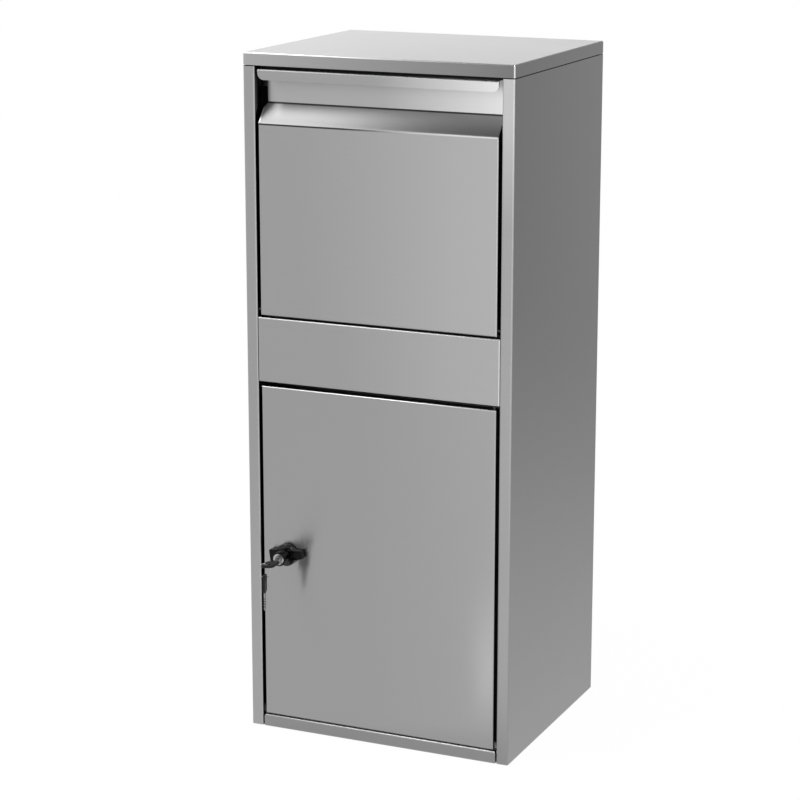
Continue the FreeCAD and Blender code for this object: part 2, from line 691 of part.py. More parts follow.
def chute_tray():
    """Plate that rises to the level as the flap opens; edges folded along the cheeks, tail folded under."""
    body = new_body("chute_tray", y=front, z=flap_bottom)
    thick, none = dim.sheet, 0 * dim.sheet
    half = flap_half - 2 * thick
    angle = dim.tray_angle
    fold_top = dim.flap_bottom_return + (thick - thick * cosine(angle)) / sine(angle)
    length = dim.cabinet_depth - dim.tray_back_gap
    plate = [(2 * thick, thick), along_tray(none, none), along_tray(length, none), along_tray(length, thick),
             (fold_top, 2 * thick), (2 * thick, 2 * thick)]
    extrude(body, "YZ_Plane", [plate], -half, 2 * half)
    tail = [along_tray(length - thick, -dim.tray_edge), along_tray(length, -dim.tray_edge),
            along_tray(length, thick), along_tray(length - thick, thick)]
    extrude(body, "YZ_Plane", [tail], -half, 2 * half)
    edge = [along_tray(dim.tray_edge, none), along_tray(length, none), along_tray(length, dim.tray_edge),
            along_tray(dim.tray_edge, dim.tray_edge)]
    extrude(body, "YZ_Plane", [edge], half - thick, thick)
    extrude(body, "YZ_Plane", [edge], -half, thick)


# ---------------------------------------------------------------- door

def door_skin():
    """Shallow pan with four folded edges, open at the back."""
    body = new_body("door_skin", y=front, z=door_bottom)
    thick, deep = dim.sheet, dim.door_depth
    extrude(body, "XZ_Plane", [rectangle(-door_half, door_half, 0, door_height)], 0, deep)
    bend_front(body, dim.bend_radius)
    cut(body, "XZ_Plane", [rectangle(thick - door_half, door_half - thick, thick, door_height - thick)],
        thick, deep)
    cut_round(body, "XZ_Plane", [(lock_x, dim.lock_height)], dim.housing_radius, -thick, 3 * thick)
    cut_round(body, "XY_Plane", [(door_axis_x, dim.door_axis_depth)], dim.door_pin_radius,
              -thick, door_height + 2 * thick)


def door_stiffener():
    """Hat channel up the middle of the door's inner side."""
    body = new_body("door_stiffener", y=front + dim.sheet, z=door_bottom + dim.stiffener_end_gap)
    thick, wide, deep = dim.sheet, dim.stiffener_width / 2, dim.stiffener_depth
    wall = wide - dim.stiffener_foot
    half = [(wall - thick, 0), (wide, 0), (wide, thick), (wall, thick), (wall, deep)]
    other_half = [(-x, y) for x, y in reversed(half)]
    inside = [(thick - wall, deep - thick), (wall - thick, deep - thick)]
    extrude(body, "XY_Plane", [half + other_half + inside], 0, door_height - 2 * dim.stiffener_end_gap)


def hinge_blocks():
    body = new_body("hinge_blocks", x=door_axis_x, y=front + dim.door_axis_depth, z=door_bottom)
    thick = dim.sheet
    low = -dim.door_pin_radius - dim.hinge_block_wall
    outline = rectangle(low, dim.door_axis_inset - thick, thick - dim.door_axis_depth,
                        dim.door_pin_radius + dim.hinge_block_wall)
    for start in (thick, door_height - thick - dim.hinge_block_height):
        extrude(body, "XY_Plane", [outline], start, dim.hinge_block_height)
    cut_round(body, "XY_Plane", [(0, 0)], dim.door_pin_radius, 0, door_height)


def hinge_pin(name, start):
    body = new_body(name, x=door_axis_x, y=front + dim.door_axis_depth, z=start)
    extrude_round(body, "XY_Plane", [(0, 0)], dim.door_pin_radius, 0, dim.door_pin_length)


# ---------------------------------------------------------------- lock, turned about its Y axis

def lock_body(name):
    return new_body(name, x=lock_x, y=front, z=lock_z)


def lock_housing():
    body = lock_body("lock_housing")
    bore, collar = dim.spindle_radius + dim.running_clearance, -dim.collar_thickness
    revolve(body, [(bore, collar), (dim.collar_radius, collar), (dim.collar_radius, 0),
                   (dim.housing_radius, 0), (dim.housing_radius, dim.housing_length),
                   (bore, dim.housing_length)])


def lock_nut():
    body = lock_body("lock_nut")
    extrude(body, "XZ_Plane", [hexagon(dim.lock_nut_flats)], dim.sheet, dim.lock_nut_thickness)
    cut_round(body, "XZ_Plane", [(0, 0)], dim.housing_radius, dim.sheet, dim.lock_nut_thickness)


def tilted(x, z):
    """A point about the lock's axis, turned as the wings and the keyway are."""
    turn = dim.lock_tilt
    return x * cosine(turn) - z * sine(turn), x * sine(turn) + z * cosine(turn)


def wing_knob():
    """Round base, barrel and two unlike wings whose fronts slope down to the tips."""
    body = lock_body("wing_knob")
    rear = -1 * core_back
    extrude_round(body, "XZ_Plane", [(0, 0)], dim.hub_radius, -dim.hub_front, dim.hub_front - core_back)
    left, right = -dim.left_wing, dim.right_wing
    broad, tip = dim.left_wing_height / 2, dim.right_wing_tip / 2
    wings = [tilted(x, z) for x, z in (
        (left, -broad), (0 * broad, -broad), (right, -tip), (right, tip), (0 * broad, broad), (left, broad))]
    extrude(body, "XZ_Plane", [wings], -dim.wing_root_front, dim.wing_root_front - dim.wing_back)
    beyond, root_half = dim.hub_radius * 3, dim.knob_barrel_radius
    for hand, tip_x in ((-1, dim.left_wing), (1, dim.right_wing)):
        slope_cut = [(hand * root_half, -dim.wing_root_front), (hand * tip_x, -dim.wing_tip_front),
                     (hand * beyond, -dim.wing_tip_front), (hand * beyond, -2 * dim.wing_root_front),
                     (hand * root_half, -2 * dim.wing_root_front)]
        cut(body, "XY_Plane", [slope_cut], -beyond, 2 * beyond)
    extrude_round(body, "XZ_Plane", [(0, 0)], dim.knob_barrel_radius, -dim.knob_front,
                  dim.knob_front - core_back)
    cut_round(body, "XZ_Plane", [(0, 0)], dim.core_radius, rear - dim.knob_front, 2 * dim.knob_front)


def lock_core():
    """Core with the bright ring at its face, the shaft through the housing and the square for the cam."""
    body = lock_body("lock_core")
    plug_bore = dim.plug_radius + dim.running_clearance
    bore_end = dim.plug_length - core_front + dim.rest_gap
    shoulder = cam_front - dim.rest_gap / 2
    revolve(body, [(plug_bore, -1 * core_front), (dim.core_radius, -1 * core_front),
                   (dim.core_radius, -1 * core_back), (dim.spindle_radius, -1 * core_back),
                   (dim.spindle_radius, shoulder), (0, shoulder), (0, bore_end), (plug_bore, bore_end)])
    side = dim.square_side / 2
    extrude(body, "XZ_Plane", [rectangle(-side, side, -side, side)], shoulder, cam_back - shoulder)
    cut_round(body, "XZ_Plane", [(0, 0)], dim.cam_screw_radius, cam_back - dim.cam_screw_length,
              dim.cam_screw_length)


def lock_cam():
    """Tongue that hangs down when unlocked and turns behind the stop lip to lock."""
    body = lock_body("lock_cam")
    half, side = dim.cam_width / 2, dim.square_side / 2
    extrude(body, "XZ_Plane", [rectangle(-half, half, -dim.cam_length, half)], cam_front, dim.cam_thickness)
    round_edges(body, "Y", [(-half, half), (half, half)], dim.cam_width * 0.45)
    round_edges(body, "Y", [(-half, -dim.cam_length), (half, -dim.cam_length)], dim.bend_radius)
    cut(body, "XZ_Plane", [rectangle(-side, side, -side, side)], cam_front, dim.cam_thickness)


def cam_washer():
    body = lock_body("cam_washer")
    extrude_round(body, "XZ_Plane", [(0, 0)], dim.cam_washer_radius, cam_back, dim.cam_washer_thickness)
    cut_round(body, "XZ_Plane", [(0, 0)], dim.cam_screw_radius, cam_back, dim.cam_washer_thickness)


def cam_screw():
    """Pan head screw with a cross recess, through the washer into the core."""
    body = lock_body("cam_screw")
    under = cam_back + dim.cam_washer_thickness
    tip = cam_back - dim.cam_screw_length
    head = under + dim.cam_screw_head
    revolve(body, [(0, tip), (dim.cam_screw_radius, tip), (dim.cam_screw_radius, under),
                   (dim.cam_screw_head_radius, under), (dim.cam_screw_head_radius, head), (0, head)])


def key_plug():
    """Plug with a keyway across its face."""
    body = lock_body("key_plug")
    extrude_round(body, "XZ_Plane", [(0, 0)], dim.plug_radius, -1 * core_front, dim.plug_length)
    wide = dim.blade_width / 2 + dim.keyway_clearance
    tall = dim.blade_thickness / 2 + dim.keyway_clearance
    depth = dim.blade_length - dim.key_head_gap + dim.rest_gap
    keyway = [tilted(x, z) for x, z in rectangle(-wide, wide, -tall, tall)]
    cut(body, "XZ_Plane", [keyway], -1 * core_front, depth)


# ---------------------------------------------------------------- keys, drawn about the ring's hole

key_hole_y = front - core_front - dim.key_head_gap - dim.key_head_length + dim.key_hole_inset
web_centre = (dim.key_width / 2 + dim.key_hole_radius) / 2
web_half = (dim.key_width / 2 - dim.key_hole_radius) / 2
ring_inside = dim.ring_radius - dim.wire_radius
ring_drop = root(ring_inside * ring_inside - web_half * web_half) - dim.key_head_thickness / 2 - dim.ring_gap
ring_from_axis = tilted(-web_centre, -ring_drop)
ring_x = lock_x + ring_from_axis[0]
ring_z = lock_z + ring_from_axis[1]
spare_z = ring_z - dim.ring_radius + dim.wire_radius + dim.ring_gap - dim.key_hole_radius


SPARE_TURN = 18  # degrees that the hanging spare is turned from edge-on to the front


def key_body(name, spare):
    """In the lock a key points along +Y, tilted with the keyway; the spare hangs with its blade down."""
    body = new_body(name)
    if spare:
        hanging = FreeCAD.Rotation(Vector(0, -1, 0), Vector(0, 0, -1), Vector(1, 0, 0))
        turned = FreeCAD.Rotation(Vector(0, 0, 1), SPARE_TURN)
        body.Placement = FreeCAD.Placement(Vector(0, 0, 0), turned.multiply(hanging))
    else:
        body.Placement = FreeCAD.Placement(Vector(0, 0, 0), FreeCAD.Rotation(Vector(0, -1, 0), 1))
        bind(body, "Placement.Rotation.Angle", dim.lock_tilt * Size("1 deg", 1.0))
    place = (ring_x, key_hole_y, spare_z) if spare else (lock_x, key_hole_y, lock_z)
    for axis, value in zip("xyz", place):
        bind(body, f"Placement.Base.{axis}", value)
    return body


def key_head(name, spare):
    body = key_body(name, spare)
    half, thick = dim.key_width / 2, dim.key_head_thickness
    low, high = -dim.key_hole_inset, dim.key_head_length - dim.key_hole_inset
    extrude(body, "XY_Plane", [rectangle(-half, half, low, high)], -thick / 2, thick)
    corners = [(x, y) for x in (-half, half) for y in (low, high)]
    round_edges(body, "Z", corners, dim.key_head_corner)
    cut_round(body, "XY_Plane", [(0, 0)], dim.key_hole_radius, -thick, 2 * thick)
    blade_half, tall = dim.blade_width / 2, dim.blade_thickness / 2
    cut(body, "XZ_Plane", [rectangle(-blade_half, blade_half, -tall, tall)], high - dim.blade_tang,
        dim.blade_tang)


def key_blade(name, spare):
    """Flat blade with a pointed tip and a row of cuts along one edge."""
    body = key_body(name, spare)
    half, thick = dim.blade_width / 2, dim.blade_thickness
    start = dim.key_head_length - dim.key_hole_inset - dim.blade_tang
    end = start + dim.blade_tang + dim.blade_length
    outline = [(-half, start), (half, start), (half, end - half), (half / 2, end), (-half / 2, end),
               (-half, end - half)]
    extrude(body, "XY_Plane", [outline], -thick / 2, thick)
    bites = []
    for number in range(4):
        middle = end - 1.5 * half - number * dim.bit_pitch
        bites.append([(half + dim.bit_depth, middle - dim.bit_pitch / 2), (half - dim.bit_depth, middle),
                      (half + dim.bit_depth, middle + dim.bit_pitch / 2)])
    cut(body, "XY_Plane", bites, -thick, 2 * thick)


def key_ring():
    """Ring of flat wire, upright, through the hole and round the left edge of the key head."""
    body = new_body("key_ring", x=ring_x, y=key_hole_y, z=ring_z)
    wire = dim.wire_radius
    extrude_round(body, "XZ_Plane", [(0, 0)], dim.ring_radius + wire, -wire, 2 * wire)
    cut_round(body, "XZ_Plane", [(0, 0)], dim.ring_radius - wire, -wire, 2 * wire)


# ---------------------------------------------------------------- assembly

side_panel("left_side_panel", -1)
side_panel("right_side_panel", 1)
back_panel()
lid()
floor_pan()
front_sill()
middle_panel()
header_rail()
flap_buffers()
door_buffers()
flap_pivot_pin("left_flap_pin", -1)
flap_pivot_pin("right_flap_pin", 1)
hinge_washer()
flap_skin()
grip_rail()
cheek("left_cheek", -1)
cheek("right_cheek", 1)
chute_tray()
door_skin()
door_stiffener()
hinge_blocks()
hinge_pin("upper_hinge_pin", dim.panel_bottom + dim.sheet + dim.door_pin_reach - dim.door_pin_length)
hinge_pin("lower_hinge_pin", dim.sill_height - dim.sheet - dim.door_pin_reach)
lock_housing()
lock_nut()
wing_knob()
lock_core()
lock_cam()
cam_washer()
cam_screw()
key_plug()
key_head("key_head", False)
key_blade("key_blade", False)
key_ring()
key_head("spare_key_head", True)
key_blade("spare_key_blade", True)

doc.recompute()
for item in doc.Objects:
    if "Invalid" in item.State or "Error" in item.State:
        raise RuntimeError(f"{item.Name} did not build: {item.State}")
os.makedirs("parts", exist_ok=True)
for piece in made:
    shape = piece.Shape
    if shape.isNull() or not shape.isValid():
        raise RuntimeError(f"{piece.Label} has no valid shape")
    shape.exportStep(f"parts/{piece.Label}.step")
    box = shape.BoundBox
    print(f"{piece.Label:18s} {len(shape.Solids)} solids  x {box.XMin:7.1f} {box.XMax:7.1f}  "
          f"y {box.YMin:7.1f} {box.YMax:7.1f}  z {box.ZMin:7.1f} {box.ZMax:7.1f}")
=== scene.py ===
# %% [markdown]
# # A wall mounted mailbox in brushed stainless sheet
# The box is folded from 1 mm stainless sheet: a lid, two side panels with front posts,
# a drop flap with a grip rail, a fixed panel and a door with a wing knob lock.
# Its shapes and places come from the construction model, which is loaded first and stays
# as it is. This lesson adds what a construction model lacks: the finishes, the rounded
# small parts of the lock, the light and the camera.

# %% Load the frame
import math

import bmesh
import bpy
import numpy as np
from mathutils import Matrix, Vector


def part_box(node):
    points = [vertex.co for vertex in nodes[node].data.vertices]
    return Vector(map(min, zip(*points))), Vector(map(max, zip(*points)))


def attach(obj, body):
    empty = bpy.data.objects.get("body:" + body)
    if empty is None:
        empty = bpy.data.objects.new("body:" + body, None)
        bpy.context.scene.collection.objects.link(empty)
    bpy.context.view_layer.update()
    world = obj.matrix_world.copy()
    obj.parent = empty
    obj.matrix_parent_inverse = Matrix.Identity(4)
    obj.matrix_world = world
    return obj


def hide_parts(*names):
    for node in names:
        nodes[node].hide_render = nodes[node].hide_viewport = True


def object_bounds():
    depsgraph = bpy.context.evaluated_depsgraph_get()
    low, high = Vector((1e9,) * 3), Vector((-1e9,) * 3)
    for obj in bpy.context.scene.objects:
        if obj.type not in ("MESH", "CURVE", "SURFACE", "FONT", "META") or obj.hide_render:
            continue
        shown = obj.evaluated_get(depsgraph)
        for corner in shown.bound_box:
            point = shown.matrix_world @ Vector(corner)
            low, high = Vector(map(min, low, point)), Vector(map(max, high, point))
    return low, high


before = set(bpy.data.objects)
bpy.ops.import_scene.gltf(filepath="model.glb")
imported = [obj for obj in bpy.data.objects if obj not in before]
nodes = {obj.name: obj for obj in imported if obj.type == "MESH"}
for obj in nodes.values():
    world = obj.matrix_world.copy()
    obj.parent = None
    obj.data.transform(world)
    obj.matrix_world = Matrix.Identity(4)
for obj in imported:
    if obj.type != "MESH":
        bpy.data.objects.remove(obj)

cad_low, cad_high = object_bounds()
print("CAD box", [round(v, 4) for v in (*cad_low, *cad_high)])

# %% [markdown]
# ## Finishes
# Three helpers serve every finish here. `new_material` makes a Principled material and sets
# the plain numbers on its own sockets, `add_node` adds a node with its settings, and `grey`
# gives a neutral colour. The same nodes could be set by hand in the shader editor, but in
# code each number stands in one place. Patterns read Object coordinates, the place on the
# piece in metres, because that stays put when the piece moves.

# %% Material helpers


def new_material(name, **sockets):
    """A Principled material; each keyword is a socket's name with _ for a space."""
    material = bpy.data.materials.new(name)
    material.use_nodes = True
    shader = material.node_tree.nodes["Principled BSDF"]
    for key, value in sockets.items():
        shader.inputs[key.replace("_", " ")].default_value = value
    return material, shader


def add_node(tree, kind, **settings):
    """A node of the given kind; each keyword is one of its settings."""
    node = tree.nodes.new(kind)
    for key, value in settings.items():
        setattr(node, key, value)
    return node


def grey(level):
    """A neutral colour of the given level."""
    return (level, level, level, 1.0)


print("a middle grey is", grey(0.5))


# %% [markdown]
# ### Brushed grain
# Brushing leaves thousands of hair lines along one direction. A picture of brushed metal
# would show them, but it repeats and has only one sharpness. A noise texture that is
# squeezed across the lines and drawn out along them looks the same and never repeats, so
# the group below stretches the place on the piece before it reads the noise. Both the outer
# sheet and the inner sheet use it, each with its own values. It gives out a colour, a
# roughness and a height, which a Bump node turns into fine relief.

# %% Node group: brushed grain


def make_grain_group():
    """noise(place x stretch): streaks run long where the stretch is small and thin where it is large."""
    group = bpy.data.node_groups.new("brushed_grain", "ShaderNodeTree")
    face = group.interface
    face.new_socket("Stretch", in_out="INPUT", socket_type="NodeSocketVector")
    for name, start in (("Level", 0.5), ("Contrast", 0.04), ("Roughness", 0.3), ("Smudge", 0.03)):
        socket = face.new_socket(name, in_out="INPUT", socket_type="NodeSocketFloat")
        socket.default_value = start
    face.new_socket("Color", in_out="OUTPUT", socket_type="NodeSocketColor")
    face.new_socket("Roughness", in_out="OUTPUT", socket_type="NodeSocketFloat")
    face.new_socket("Height", in_out="OUTPUT", socket_type="NodeSocketFloat")

    entry = add_node(group, "NodeGroupInput")
    leave = add_node(group, "NodeGroupOutput")
    place = add_node(group, "ShaderNodeTexCoord")
    stretched = add_node(group, "ShaderNodeVectorMath", operation="MULTIPLY")
    hairs = add_node(group, "ShaderNodeTexNoise")
    hairs.inputs["Scale"].default_value = 1.0
    hairs.inputs["Detail"].default_value = 3.0
    hairs.inputs["Roughness"].default_value = 0.65
    clouds = add_node(group, "ShaderNodeTexNoise")
    clouds.inputs["Scale"].default_value = 5.0
    clouds.inputs["Detail"].default_value = 2.0

    centred = add_node(group, "ShaderNodeMath", operation="SUBTRACT")
    centred.inputs[1].default_value = 0.5
    swing = add_node(group, "ShaderNodeMath", operation="MULTIPLY")
    lighter = add_node(group, "ShaderNodeMath", operation="ADD")
    as_colour = add_node(group, "ShaderNodeCombineColor")
    cloud_centred = add_node(group, "ShaderNodeMath", operation="SUBTRACT")
    cloud_centred.inputs[1].default_value = 0.5
    smudged = add_node(group, "ShaderNodeMath", operation="MULTIPLY_ADD")

    link = group.links.new
    link(place.outputs["Object"], stretched.inputs[0])
    link(entry.outputs["Stretch"], stretched.inputs[1])
    link(stretched.outputs[0], hairs.inputs["Vector"])
    link(place.outputs["Object"], clouds.inputs["Vector"])
    link(hairs.outputs[0], centred.inputs[0])
    link(centred.outputs[0], swing.inputs[0])
    link(entry.outputs["Contrast"], swing.inputs[1])
    link(entry.outputs["Level"], lighter.inputs[0])
    link(swing.outputs[0], lighter.inputs[1])
    for channel in as_colour.inputs:
        link(lighter.outputs[0], channel)
    link(clouds.outputs[0], cloud_centred.inputs[0])
    link(cloud_centred.outputs[0], smudged.inputs[0])
    link(entry.outputs["Smudge"], smudged.inputs[1])
    link(entry.outputs["Roughness"], smudged.inputs[2])
    link(as_colour.outputs[0], leave.inputs["Color"])
    link(smudged.outputs[0], leave.inputs["Roughness"])
    link(hairs.outputs[0], leave.inputs["Height"])
    return group


grain = make_grain_group()
print("grain group has", len(grain.nodes), "nodes")

# %% [markdown]
# ### Zones
# Most zones are painted light and shade: painted reflections make a skirt or a post lighter
# or darker along its length, folds get painted highlights, and the returns in the gaps get
# painted shade. Such a place could be painted on the mesh, but a CAD mesh has points only
# along its edges and folds, too far apart for paint. So a zone is worked out in the shader.
# It has a level of its own, and masks say where it is: each grows from 0 to 1 between two
# places along an axis, and the zone holds where all its masks are 1. Every zone of every
# finish needs masks, so the mask is a node group.

# %% Node group: zone mask


def make_zone_group():
    """mask = (axis . place - from) / (to - from), kept between 0 and 1."""
    group = bpy.data.node_groups.new("zone_mask", "ShaderNodeTree")
    face = group.interface
    face.new_socket("Axis", in_out="INPUT", socket_type="NodeSocketVector")
    face.new_socket("From", in_out="INPUT", socket_type="NodeSocketFloat")
    face.new_socket("To", in_out="INPUT", socket_type="NodeSocketFloat")
    face.new_socket("Mask", in_out="OUTPUT", socket_type="NodeSocketFloat")
    entry, leave = add_node(group, "NodeGroupInput"), add_node(group, "NodeGroupOutput")
    place = add_node(group, "ShaderNodeTexCoord")
    along = add_node(group, "ShaderNodeVectorMath", operation="DOT_PRODUCT")
    ramp = add_node(group, "ShaderNodeMapRange")
    link = group.links.new
    link(place.outputs["Object"], along.inputs[0])
    link(entry.outputs["Axis"], along.inputs[1])
    link(along.outputs["Value"], ramp.inputs["Value"])
    link(entry.outputs["From"], ramp.inputs["From Min"])
    link(entry.outputs["To"], ramp.inputs["From Max"])
    link(ramp.outputs[0], leave.inputs["Mask"])
    return group


zone = make_zone_group()
print("zone group has", len(zone.nodes), "nodes")

# %% Level by zones


def by_zones(tree, plain, zones):
    """Each zone is (value there, mask, ...), each mask (axis, from, to); later zones lie on top."""
    found = None
    for zone_value, *masks in zones:
        inside = None
        for axis, start, end in masks:
            mask = add_node(tree, "ShaderNodeGroup", node_tree=zone)
            mask.inputs["Axis"].default_value = axis
            mask.inputs["From"].default_value = start
            mask.inputs["To"].default_value = end
            if inside is None:
                inside = mask.outputs[0]
                continue
            both = add_node(tree, "ShaderNodeMath", operation="MULTIPLY")
            tree.links.new(inside, both.inputs[0])
            tree.links.new(mask.outputs[0], both.inputs[1])
            inside = both.outputs[0]
        move = add_node(tree, "ShaderNodeMapRange")
        move.inputs["To Min"].default_value = plain
        move.inputs["To Max"].default_value = zone_value
        tree.links.new(inside, move.inputs["Value"])
        if found is not None:
            tree.links.new(found, move.inputs["To Min"])
        found = move.outputs[0]
    return found


# %% [markdown]
# ### Brushed sheet
# Brushed metal mirrors its surroundings sharply along the brushing and smears them across
# it. Deeper relief in the grain would do that, but it takes far more samples to come out
# smooth. Anisotropy does it at once: the shader only needs the direction along which it
# smears, the tangent. The hair lines run level round the box and from side to side on the
# lid, so reflections smear up and down. One nearly upright vector serves every piece: laid
# into an upright face it points up, and laid into the lid it points to the back.

# %% Brushed metal
RELIEF_DEPTH = 0.0001
NEARLY_UPRIGHT = (0.0, 0.02, 1.0)
print("relief is", RELIEF_DEPTH * 1000, "mm deep at full strength")


def brushed(name, level, roughness, smear, stretch, contrast=0.03, relief=0.02, zones=()):
    """Metal whose level, roughness and relief follow the grain; zones have levels of their own."""
    material, shader = new_material(name, Metallic=1.0, Anisotropic=smear)
    tree = material.node_tree
    lines = add_node(tree, "ShaderNodeGroup", node_tree=grain)
    lines.inputs["Stretch"].default_value = stretch
    lines.inputs["Level"].default_value = level
    lines.inputs["Contrast"].default_value = contrast
    lines.inputs["Roughness"].default_value = roughness
    bump = add_node(tree, "ShaderNodeBump")
    bump.inputs["Strength"].default_value = relief
    bump.inputs["Distance"].default_value = RELIEF_DEPTH
    tangent = add_node(tree, "ShaderNodeCombineXYZ")
    for socket, part in zip(tangent.inputs, NEARLY_UPRIGHT):
        socket.default_value = part
    if zones:
        tree.links.new(by_zones(tree, level, zones), lines.inputs["Level"])
    tree.links.new(lines.outputs["Color"], shader.inputs["Base Color"])
    tree.links.new(lines.outputs["Roughness"], shader.inputs["Roughness"])
    tree.links.new(lines.outputs["Height"], bump.inputs["Height"])
    tree.links.new(bump.outputs["Normal"], shader.inputs["Normal"])
    tree.links.new(tangent.outputs[0], shader.inputs["Tangent"])
    return material


# %% [markdown]
# ### Places on the sheet
# A fold gets a painted highlight. The returns behind the front and the inside of the posts
# get painted shade, which makes the gaps between the panels black. Each such place is a mask,
# in metres in the frame. An axis that points the other way makes a mask that ends at a place
# instead of one that begins there.

# %% Masks
X_AXIS, Y_AXIS, Z_AXIS = (1, 0, 0), (0, 1, 0), (0, 0, 1)
X_BACK, Y_BACK, Z_BACK = (-1, 0, 0), (0, -1, 0), (0, 0, -1)
front, half_width, top = -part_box("flap_skin")[0].y, cad_high.x, cad_high.z
lid_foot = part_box("lid")[0].z
FRONT_FACE = (Y_BACK, front - 0.0015, front - 0.0005)
FRONT_BEND = (Y_BACK, front - 0.0024, front - 0.0018)
BEHIND_FRONT = (Y_AXIS, 0.0014 - front, 0.0016 - front)
INSIDE_LEFT = (X_AXIS, 0.0014 - half_width, 0.0016 - half_width)
INSIDE_RIGHT = (X_BACK, 0.0014 - half_width, 0.0016 - half_width)
TOP_JOINT = (Z_AXIS, lid_foot - 0.0018, lid_foot - 0.0012)
POST_FOOT = (Z_BACK, -0.45, -0.15)
print("front plane", round(front, 4), "m before the middle, lid's skirt ends at", round(lid_foot, 4), "m")

# %% Steel with zones
LEVEL_LINES = (12.0, 12.0, 900.0)
LID_LINES = (12.0, 900.0, 900.0)
STEEL_LEVEL, STEEL_ROUGHNESS, STEEL_SMEAR = 0.42, 0.30, 0.85
# The first of these is the level of a painted highlight, the other two are levels of painted shade in the
# gaps and under the lid's skirt.
BRIGHT, GAP_SHADE, DARK = 0.85, 0.05, 0.02


def steel(name, *zones, lines=LEVEL_LINES, roughness=STEEL_ROUGHNESS, smear=STEEL_SMEAR):
    """The steel of one panel, with the zones of that panel."""
    return brushed("stainless_" + name, STEEL_LEVEL, roughness, smear, lines, zones=zones)


def painted_highlight_edge(axis, place):
    """A painted highlight along a fold: the last 2 mm before the place on the axis, and more to the right.
    """
    return BRIGHT, FRONT_BEND, (axis, place - 0.0018, place - 0.0008), (X_AXIS, -0.19, 0.19)


print("steel reflects", STEEL_LEVEL, "with roughness", STEEL_ROUGHNESS)

# %% [markdown]
# ### Cabinet and door sheets
# Painted reflections make the right post lighter near the top and darker towards its foot,
# and the left one a little lighter at its foot. A painted reflection brightens the fixed
# panel to the right, and painted shade darkens the lid's skirt to the right. The folds carry
# painted highlights, and the returns in the gaps painted shade.
# The door is smoother than the rest, so it mirrors the knob in front of it. One material
# could hold all these zones, but one for each panel keeps its few zones together.

# %% Cabinet and door sheets
middle_low, middle_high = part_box("middle_panel")
door_top, sill_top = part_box("door_skin")[1].z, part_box("front_sill")[1].z
outer_sheet = steel("outer")
# The fixed panel: a painted reflection brightens it to the right, painted shade darkens its returns in the
# gaps, and painted highlights lie along its top, bottom and right-hand folds.
middle_sheet = steel("middle", (0.47, (X_AXIS, -0.06, 0.10)), (DARK, BEHIND_FRONT),
                     painted_highlight_edge(Z_AXIS, middle_high.z), painted_highlight_edge(Z_BACK, -middle_low.z),
                     painted_highlight_edge(X_AXIS, middle_high.x))
# The door: painted shade on its top return in the gap above it, and a painted highlight along its top fold.
door_sheet = steel("door", (DARK, BEHIND_FRONT, (Z_AXIS, door_top - 0.0028, door_top - 0.0022)),
                   painted_highlight_edge(Z_AXIS, door_top), roughness=0.20, smear=0.88)
# The left post: a painted reflection lightens its front towards the foot, painted shade darkens its inside
# and its returns in the gaps, and a painted shadow line lies under the lid's skirt.
left_sheet = steel("left", (0.46, FRONT_FACE, POST_FOOT),
                   (GAP_SHADE, BEHIND_FRONT, INSIDE_LEFT), (DARK, TOP_JOINT))
# The right post: a painted highlight lightens its front near the top and painted shade darkens it towards
# the foot, and its inside, its returns and the line under the lid's skirt get painted shade too.
right_sheet = steel("right", (0.62, FRONT_FACE, (Z_AXIS, 0.78, 0.93)), (0.36, FRONT_FACE, POST_FOOT),
                    (GAP_SHADE, BEHIND_FRONT, INSIDE_RIGHT), (DARK, TOP_JOINT))
# The lid: its front skirt gets a painted reflection that is lighter on the left and painted shade that
# darkens it to the right, and painted highlights lie along its front top fold and its front right corner.
lid_sheet = steel("lid", (0.49, FRONT_FACE), (0.22, FRONT_FACE, (X_AXIS, -0.19, half_width)),
                  (0.75, FRONT_BEND, (Z_AXIS, top - 0.0018, top - 0.0010)),
                  (0.75, FRONT_BEND, (X_AXIS, half_width - 0.0020, half_width - 0.0012)), lines=LID_LINES)
# A painted highlight lies along the sill's top fold.
sill_sheet = brushed("stainless_sill", 0.34, 0.32, 0.8, LEVEL_LINES, zones=(painted_highlight_edge(Z_AXIS, sill_top),))
inner_sheet = brushed("stainless_inner", 0.26, 0.40, 0.6, LEVEL_LINES, contrast=0.04)
# The header rail inside the box is painted nearly black, as painted shade in the gap under the lid.
painted_shade_sheet = brushed("stainless_painted_shade", 0.06, 0.45, 0.5, LEVEL_LINES, contrast=0.02)
print("door sheet has", len(door_sheet.node_tree.nodes), "nodes")

# %% [markdown]
# ### Grip and flap sheets
# The rail's set-back strip is lighter than its edge, and a painted reflection brightens both
# to the right. A painted highlight marks the strip's right end, painted shade dims the left
# of the rail's top fold, and a painted shadow darkens its right end by the post. The lip
# under it leans back and mirrors the ceiling. It is painted darker near the fold than near
# the rail, to even out that reflection, and a thin painted shadow line ends it under the
# rail. The fold between lip and face gets a painted shadow line on the left and a painted
# highlight on the right, the lip's left end gets a painted highlight, and a painted
# reflection brightens the face a little to the right.
# Such lines could be narrow faces of their own, but the construction model's meshes stay as
# they are, so the lines are zones about a millimetre wide.

# %% Grip and flap sheets
LIP_RISE, LIP_OVERLAP = 0.027, 0.016
rail_high, lip_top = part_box("grip_rail")[1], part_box("flap_skin")[1].z - LIP_OVERLAP
lip_fold = lip_top - LIP_RISE
STRIP = (Z_BACK, 0.0160 - rail_high.z, 0.0170 - rail_high.z)
